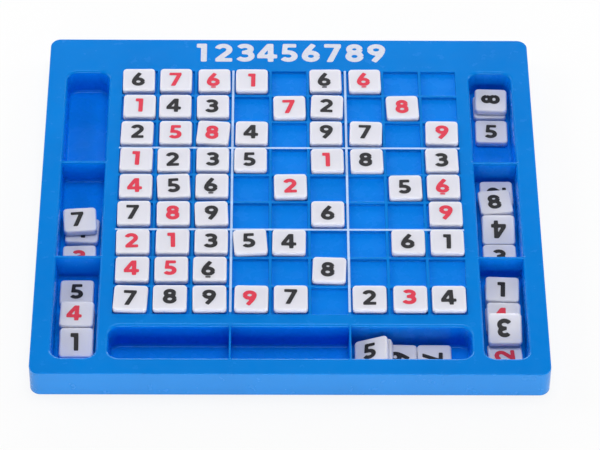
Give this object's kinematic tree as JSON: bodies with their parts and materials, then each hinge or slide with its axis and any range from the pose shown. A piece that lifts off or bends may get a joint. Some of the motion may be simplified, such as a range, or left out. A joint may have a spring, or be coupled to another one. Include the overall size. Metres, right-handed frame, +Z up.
{
  "type": "sudoku board",
  "caption": "Flat blue moulded sudoku board with a square grid of shallow cells, long trays along both sides and the front edge, and loose white number tiles.",
  "frame": {"origin": "middle of the board's outline, on the plane that it rests on", "axes": "+X to the right along the board's width, +Y away from the player, +Z up out of the deck"},
  "size_m": [0.2842, 0.2682, 0.0193],
  "materials": {
    "blue_plastic": "bright blue moulded plastic with a soft sheen",
    "white_plastic": "white moulded plastic with a soft sheen and printed numbers"
  },
  "bodies": {
    "board": {"board": "blue_plastic"},
    "tile_r1_c1": {"tile_r1_c1": "white_plastic"},
    "tile_r1_c2": {"tile_r1_c2": "white_plastic"},
    "tile_r1_c3": {"tile_r1_c3": "white_plastic"},
    "tile_r1_c4": {"tile_r1_c4": "white_plastic"},
    "tile_r1_c6": {"tile_r1_c6": "white_plastic"},
    "tile_r1_c7": {"tile_r1_c7": "white_plastic"},
    "tile_r2_c1": {"tile_r2_c1": "white_plastic"},
    "tile_r2_c2": {"tile_r2_c2": "white_plastic"},
    "tile_r2_c3": {"tile_r2_c3": "white_plastic"},
    "tile_r2_c5": {"tile_r2_c5": "white_plastic"},
    "tile_r2_c6": {"tile_r2_c6": "white_plastic"},
    "tile_r2_c8": {"tile_r2_c8": "white_plastic"},
    "tile_r3_c1": {"tile_r3_c1": "white_plastic"},
    "tile_r3_c2": {"tile_r3_c2": "white_plastic"},
    "tile_r3_c3": {"tile_r3_c3": "white_plastic"},
    "tile_r3_c4": {"tile_r3_c4": "white_plastic"},
    "tile_r3_c6": {"tile_r3_c6": "white_plastic"},
    "tile_r3_c7": {"tile_r3_c7": "white_plastic"},
    "tile_r3_c9": {"tile_r3_c9": "white_plastic"},
    "tile_r4_c1": {"tile_r4_c1": "white_plastic"},
    "tile_r4_c2": {"tile_r4_c2": "white_plastic"},
    "tile_r4_c3": {"tile_r4_c3": "white_plastic"},
    "tile_r4_c4": {"tile_r4_c4": "white_plastic"},
    "tile_r4_c6": {"tile_r4_c6": "white_plastic"},
    "tile_r4_c7": {"tile_r4_c7": "white_plastic"},
    "tile_r4_c9": {"tile_r4_c9": "white_plastic"},
    "tile_r5_c1": {"tile_r5_c1": "white_plastic"},
    "tile_r5_c2": {"tile_r5_c2": "white_plastic"},
    "tile_r5_c3": {"tile_r5_c3": "white_plastic"},
    "tile_r5_c5": {"tile_r5_c5": "white_plastic"},
    "tile_r5_c8": {"tile_r5_c8": "white_plastic"},
    "tile_r5_c9": {"tile_r5_c9": "white_plastic"},
    "tile_r6_c1": {"tile_r6_c1": "white_plastic"},
    "tile_r6_c2": {"tile_r6_c2": "white_plastic"},
    "tile_r6_c3": {"tile_r6_c3": "white_plastic"},
    "tile_r6_c6": {"tile_r6_c6": "white_plastic"},
    "tile_r6_c9": {"tile_r6_c9": "white_plastic"},
    "tile_r7_c1": {"tile_r7_c1": "white_plastic"},
    "tile_r7_c2": {"tile_r7_c2": "white_plastic"},
    "tile_r7_c3": {"tile_r7_c3": "white_plastic"},
    "tile_r7_c4": {"tile_r7_c4": "white_plastic"},
    "tile_r7_c5": {"tile_r7_c5": "white_plastic"},
    "tile_r7_c8": {"tile_r7_c8": "white_plastic"},
    "tile_r7_c9": {"tile_r7_c9": "white_plastic"},
    "tile_r8_c1": {"tile_r8_c1": "white_plastic"},
    "tile_r8_c2": {"tile_r8_c2": "white_plastic"},
    "tile_r8_c3": {"tile_r8_c3": "white_plastic"},
    "tile_r8_c6": {"tile_r8_c6": "white_plastic"},
    "tile_r9_c1": {"tile_r9_c1": "white_plastic"},
    "tile_r9_c2": {"tile_r9_c2": "white_plastic"},
    "tile_r9_c3": {"tile_r9_c3": "white_plastic"},
    "tile_r9_c4": {"tile_r9_c4": "white_plastic"},
    "tile_r9_c5": {"tile_r9_c5": "white_plastic"},
    "tile_r9_c7": {"tile_r9_c7": "white_plastic"},
    "tile_r9_c8": {"tile_r9_c8": "white_plastic"},
    "tile_r9_c9": {"tile_r9_c9": "white_plastic"},
    "left_tray_tiles": {"left_tray_tiles": "white_plastic"},
    "right_tray_tiles": {"right_tray_tiles": "white_plastic"},
    "front_tray_tiles": {"front_tray_tiles": "white_plastic"}
  },
  "joints": [
    {"name": "tile_r1_c1_lift", "type": "slide", "parent": "board", "child": "tile_r1_c1", "axis": [0, 0, 1], "range_m": [0, 0.02]},
    {"name": "tile_r1_c2_lift", "type": "slide", "parent": "board", "child": "tile_r1_c2", "axis": [0, 0, 1], "range_m": [0, 0.02]},
    {"name": "tile_r1_c3_lift", "type": "slide", "parent": "board", "child": "tile_r1_c3", "axis": [0, 0, 1], "range_m": [0, 0.02]},
    {"name": "tile_r1_c4_lift", "type": "slide", "parent": "board", "child": "tile_r1_c4", "axis": [0, 0, 1], "range_m": [0, 0.02]},
    {"name": "tile_r1_c6_lift", "type": "slide", "parent": "board", "child": "tile_r1_c6", "axis": [0, 0, 1], "range_m": [0, 0.02]},
    {"name": "tile_r1_c7_lift", "type": "slide", "parent": "board", "child": "tile_r1_c7", "axis": [0, 0, 1], "range_m": [0, 0.02]},
    {"name": "tile_r2_c1_lift", "type": "slide", "parent": "board", "child": "tile_r2_c1", "axis": [0, 0, 1], "range_m": [0, 0.02]},
    {"name": "tile_r2_c2_lift", "type": "slide", "parent": "board", "child": "tile_r2_c2", "axis": [0, 0, 1], "range_m": [0, 0.02]},
    {"name": "tile_r2_c3_lift", "type": "slide", "parent": "board", "child": "tile_r2_c3", "axis": [0, 0, 1], "range_m": [0, 0.02]},
    {"name": "tile_r2_c5_lift", "type": "slide", "parent": "board", "child": "tile_r2_c5", "axis": [0, 0, 1], "range_m": [0, 0.02]},
    {"name": "tile_r2_c6_lift", "type": "slide", "parent": "board", "child": "tile_r2_c6", "axis": [0, 0, 1], "range_m": [0, 0.02]},
    {"name": "tile_r2_c8_lift", "type": "slide", "parent": "board", "child": "tile_r2_c8", "axis": [0, 0, 1], "range_m": [0, 0.02]},
    {"name": "tile_r3_c1_lift", "type": "slide", "parent": "board", "child": "tile_r3_c1", "axis": [0, 0, 1], "range_m": [0, 0.02]},
    {"name": "tile_r3_c2_lift", "type": "slide", "parent": "board", "child": "tile_r3_c2", "axis": [0, 0, 1], "range_m": [0, 0.02]},
    {"name": "tile_r3_c3_lift", "type": "slide", "parent": "board", "child": "tile_r3_c3", "axis": [0, 0, 1], "range_m": [0, 0.02]},
    {"name": "tile_r3_c4_lift", "type": "slide", "parent": "board", "child": "tile_r3_c4", "axis": [0, 0, 1], "range_m": [0, 0.02]},
    {"name": "tile_r3_c6_lift", "type": "slide", "parent": "board", "child": "tile_r3_c6", "axis": [0, 0, 1], "range_m": [0, 0.02]},
    {"name": "tile_r3_c7_lift", "type": "slide", "parent": "board", "child": "tile_r3_c7", "axis": [0, 0, 1], "range_m": [0, 0.02]},
    {"name": "tile_r3_c9_lift", "type": "slide", "parent": "board", "child": "tile_r3_c9", "axis": [0, 0, 1], "range_m": [0, 0.02]},
    {"name": "tile_r4_c1_lift", "type": "slide", "parent": "board", "child": "tile_r4_c1", "axis": [0, 0, 1], "range_m": [0, 0.02]},
    {"name": "tile_r4_c2_lift", "type": "slide", "parent": "board", "child": "tile_r4_c2", "axis": [0, 0, 1], "range_m": [0, 0.02]},
    {"name": "tile_r4_c3_lift", "type": "slide", "parent": "board", "child": "tile_r4_c3", "axis": [0, 0, 1], "range_m": [0, 0.02]},
    {"name": "tile_r4_c4_lift", "type": "slide", "parent": "board", "child": "tile_r4_c4", "axis": [0, 0, 1], "range_m": [0, 0.02]},
    {"name": "tile_r4_c6_lift", "type": "slide", "parent": "board", "child": "tile_r4_c6", "axis": [0, 0, 1], "range_m": [0, 0.02]},
    {"name": "tile_r4_c7_lift", "type": "slide", "parent": "board", "child": "tile_r4_c7", "axis": [0, 0, 1], "range_m": [0, 0.02]},
    {"name": "tile_r4_c9_lift", "type": "slide", "parent": "board", "child": "tile_r4_c9", "axis": [0, 0, 1], "range_m": [0, 0.02]},
    {"name": "tile_r5_c1_lift", "type": "slide", "parent": "board", "child": "tile_r5_c1", "axis": [0, 0, 1], "range_m": [0, 0.02]},
    {"name": "tile_r5_c2_lift", "type": "slide", "parent": "board", "child": "tile_r5_c2", "axis": [0, 0, 1], "range_m": [0, 0.02]},
    {"name": "tile_r5_c3_lift", "type": "slide", "parent": "board", "child": "tile_r5_c3", "axis": [0, 0, 1], "range_m": [0, 0.02]},
    {"name": "tile_r5_c5_lift", "type": "slide", "parent": "board", "child": "tile_r5_c5", "axis": [0, 0, 1], "range_m": [0, 0.02]},
    {"name": "tile_r5_c8_lift", "type": "slide", "parent": "board", "child": "tile_r5_c8", "axis": [0, 0, 1], "range_m": [0, 0.02]},
    {"name": "tile_r5_c9_lift", "type": "slide", "parent": "board", "child": "tile_r5_c9", "axis": [0, 0, 1], "range_m": [0, 0.02]},
    {"name": "tile_r6_c1_lift", "type": "slide", "parent": "board", "child": "tile_r6_c1", "axis": [0, 0, 1], "range_m": [0, 0.02]},
    {"name": "tile_r6_c2_lift", "type": "slide", "parent": "board", "child": "tile_r6_c2", "axis": [0, 0, 1], "range_m": [0, 0.02]},
    {"name": "tile_r6_c3_lift", "type": "slide", "parent": "board", "child": "tile_r6_c3", "axis": [0, 0, 1], "range_m": [0, 0.02]},
    {"name": "tile_r6_c6_lift", "type": "slide", "parent": "board", "child": "tile_r6_c6", "axis": [0, 0, 1], "range_m": [0, 0.02]},
    {"name": "tile_r6_c9_lift", "type": "slide", "parent": "board", "child": "tile_r6_c9", "axis": [0, 0, 1], "range_m": [0, 0.02]},
    {"name": "tile_r7_c1_lift", "type": "slide", "parent": "board", "child": "tile_r7_c1", "axis": [0, 0, 1], "range_m": [0, 0.02]},
    {"name": "tile_r7_c2_lift", "type": "slide", "parent": "board", "child": "tile_r7_c2", "axis": [0, 0, 1], "range_m": [0, 0.02]},
    {"name": "tile_r7_c3_lift", "type": "slide", "parent": "board", "child": "tile_r7_c3", "axis": [0, 0, 1], "range_m": [0, 0.02]},
    {"name": "tile_r7_c4_lift", "type": "slide", "parent": "board", "child": "tile_r7_c4", "axis": [0, 0, 1], "range_m": [0, 0.02]},
    {"name": "tile_r7_c5_lift", "type": "slide", "parent": "board", "child": "tile_r7_c5", "axis": [0, 0, 1], "range_m": [0, 0.02]},
    {"name": "tile_r7_c8_lift", "type": "slide", "parent": "board", "child": "tile_r7_c8", "axis": [0, 0, 1], "range_m": [0, 0.02]},
    {"name": "tile_r7_c9_lift", "type": "slide", "parent": "board", "child": "tile_r7_c9", "axis": [0, 0, 1], "range_m": [0, 0.02]},
    {"name": "tile_r8_c1_lift", "type": "slide", "parent": "board", "child": "tile_r8_c1", "axis": [0, 0, 1], "range_m": [0, 0.02]},
    {"name": "tile_r8_c2_lift", "type": "slide", "parent": "board", "child": "tile_r8_c2", "axis": [0, 0, 1], "range_m": [0, 0.02]},
    {"name": "tile_r8_c3_lift", "type": "slide", "parent": "board", "child": "tile_r8_c3", "axis": [0, 0, 1], "range_m": [0, 0.02]},
    {"name": "tile_r8_c6_lift", "type": "slide", "parent": "board", "child": "tile_r8_c6", "axis": [0, 0, 1], "range_m": [0, 0.02]},
    {"name": "tile_r9_c1_lift", "type": "slide", "parent": "board", "child": "tile_r9_c1", "axis": [0, 0, 1], "range_m": [0, 0.02]},
    {"name": "tile_r9_c2_lift", "type": "slide", "parent": "board", "child": "tile_r9_c2", "axis": [0, 0, 1], "range_m": [0, 0.02]},
    {"name": "tile_r9_c3_lift", "type": "slide", "parent": "board", "child": "tile_r9_c3", "axis": [0, 0, 1], "range_m": [0, 0.02]},
    {"name": "tile_r9_c4_lift", "type": "slide", "parent": "board", "child": "tile_r9_c4", "axis": [0, 0, 1], "range_m": [0, 0.02]},
    {"name": "tile_r9_c5_lift", "type": "slide", "parent": "board", "child": "tile_r9_c5", "axis": [0, 0, 1], "range_m": [0, 0.02]},
    {"name": "tile_r9_c7_lift", "type": "slide", "parent": "board", "child": "tile_r9_c7", "axis": [0, 0, 1], "range_m": [0, 0.02]},
    {"name": "tile_r9_c8_lift", "type": "slide", "parent": "board", "child": "tile_r9_c8", "axis": [0, 0, 1], "range_m": [0, 0.02]},
    {"name": "tile_r9_c9_lift", "type": "slide", "parent": "board", "child": "tile_r9_c9", "axis": [0, 0, 1], "range_m": [0, 0.02]},
    {"name": "left_tray_tiles_lift", "type": "slide", "parent": "board", "child": "left_tray_tiles", "axis": [0, 0, 1], "range_m": [0, 0.03]},
    {"name": "right_tray_tiles_lift", "type": "slide", "parent": "board", "child": "right_tray_tiles", "axis": [0, 0, 1], "range_m": [0, 0.03]},
    {"name": "front_tray_tiles_lift", "type": "slide", "parent": "board", "child": "front_tray_tiles", "axis": [0, 0, 1], "range_m": [0, 0.03]}
  ]
}
